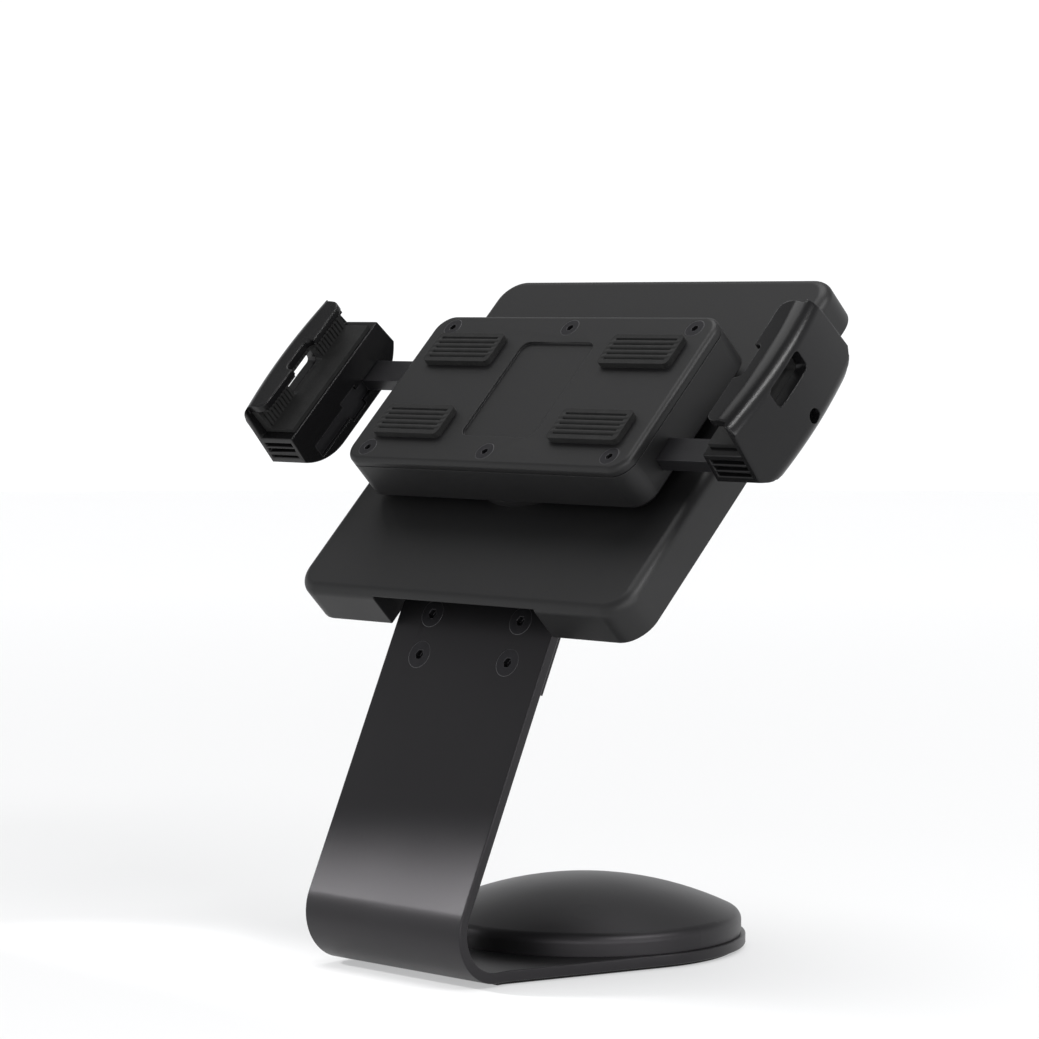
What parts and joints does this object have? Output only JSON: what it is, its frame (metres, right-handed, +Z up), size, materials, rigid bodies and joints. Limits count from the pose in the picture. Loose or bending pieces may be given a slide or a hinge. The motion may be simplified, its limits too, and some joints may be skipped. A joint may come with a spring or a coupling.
{
  "type": "tablet counter stand",
  "caption": "Counter stand: round weighted base and bent steel neck carry a tilting, swivelling head whose coupled sliding jaws clamp a tablet by its edges.",
  "frame": {"origin": "on the counter, below the centre of the round base", "axes": "+Z up, -Y towards the user, +X to the user's right; the jaws move along X at rest"},
  "size_m": [0.192, 0.1237, 0.1861],
  "materials": {
    "powder_coated_steel": "black powder coat, fine satin grain",
    "black_plastic": "moulded, fine matt texture",
    "black_rubber": "matt rubber",
    "black_screw": "black oxide",
    "bare_steel": "turned steel",
    "ballast_iron": "plain",
    "pale_plastic": "low-friction plastic",
    "black_aluminium": "black anodised"
  },
  "bodies": {
    "base": {"base_neck_plate": "powder_coated_steel", "base_pad": "black_rubber", "base_screws": "black_screw", "ballast_disc": "ballast_iron", "dome_cover": "black_plastic", "hinge_block": "powder_coated_steel", "hinge_block_screws": "black_screw", "tilt_bushes": "pale_plastic"},
    "head": {"tilt_axle": "bare_steel", "tilt_friction_washers": "bare_steel", "tilt_spring_washers": "bare_steel", "tilt_nut": "bare_steel", "head_tray": "black_plastic", "head_back_cover": "black_plastic", "head_cover_screws": "black_screw", "swivel_bush": "pale_plastic", "swivel_slide_ring": "black_plastic"},
    "frame": {"swivel_bolt": "bare_steel", "swivel_wave_washer": "bare_steel", "swivel_nut": "bare_steel", "swivel_stop_pin": "bare_steel", "frame_tray": "black_plastic", "frame_cover": "black_plastic", "frame_cover_screws": "black_screw", "frame_pads": "black_rubber", "pinion_clip": "bare_steel"},
    "pinion_wheel": {"pinion": "pale_plastic"},
    "right_jaw": {"arm_right": "black_aluminium", "jaw_right": "black_plastic", "jaw_liner_right": "black_rubber", "jaw_screws_right": "black_screw", "jaw_lock_screw_right": "black_screw"},
    "left_jaw": {"arm_left": "black_aluminium", "jaw_left": "black_plastic", "jaw_liner_left": "black_rubber", "jaw_screws_left": "black_screw", "jaw_lock_screw_left": "black_screw"}
  },
  "joints": [
    {"name": "head_tilt", "type": "hinge", "parent": "base", "child": "head", "pos_m": [0, -0.03806, 0.10672], "axis": [-1, 0, 0], "range_deg": [-20, 30]},
    {"name": "holder_swivel", "type": "hinge", "parent": "head", "child": "frame", "pos_m": [0, -0.02844, 0.16216], "axis": [0, -0.7071, 0.7071], "range_deg": [-90, 90]},
    {"name": "right_jaw_slide", "type": "slide", "parent": "frame", "child": "right_jaw", "axis": [1, 0, 0], "range_m": [-0.024, 0.02]},
    {"name": "left_jaw_slide", "type": "slide", "parent": "frame", "child": "left_jaw", "axis": [-1, 0, 0], "range_m": [-0.024, 0.02]},
    {"name": "pinion_turn", "type": "hinge", "parent": "frame", "child": "pinion_wheel", "pos_m": [0, -0.02844, 0.16216], "axis": [0, -0.7071, 0.7071], "range_deg": [-131, 109.2]}
  ],
  "couplings": [
    {"joint": "left_jaw_slide", "follows": "right_jaw_slide", "ratio": 1},
    {"joint": "pinion_turn", "follows": "right_jaw_slide", "rad_per_m": 95.238}
  ]
}
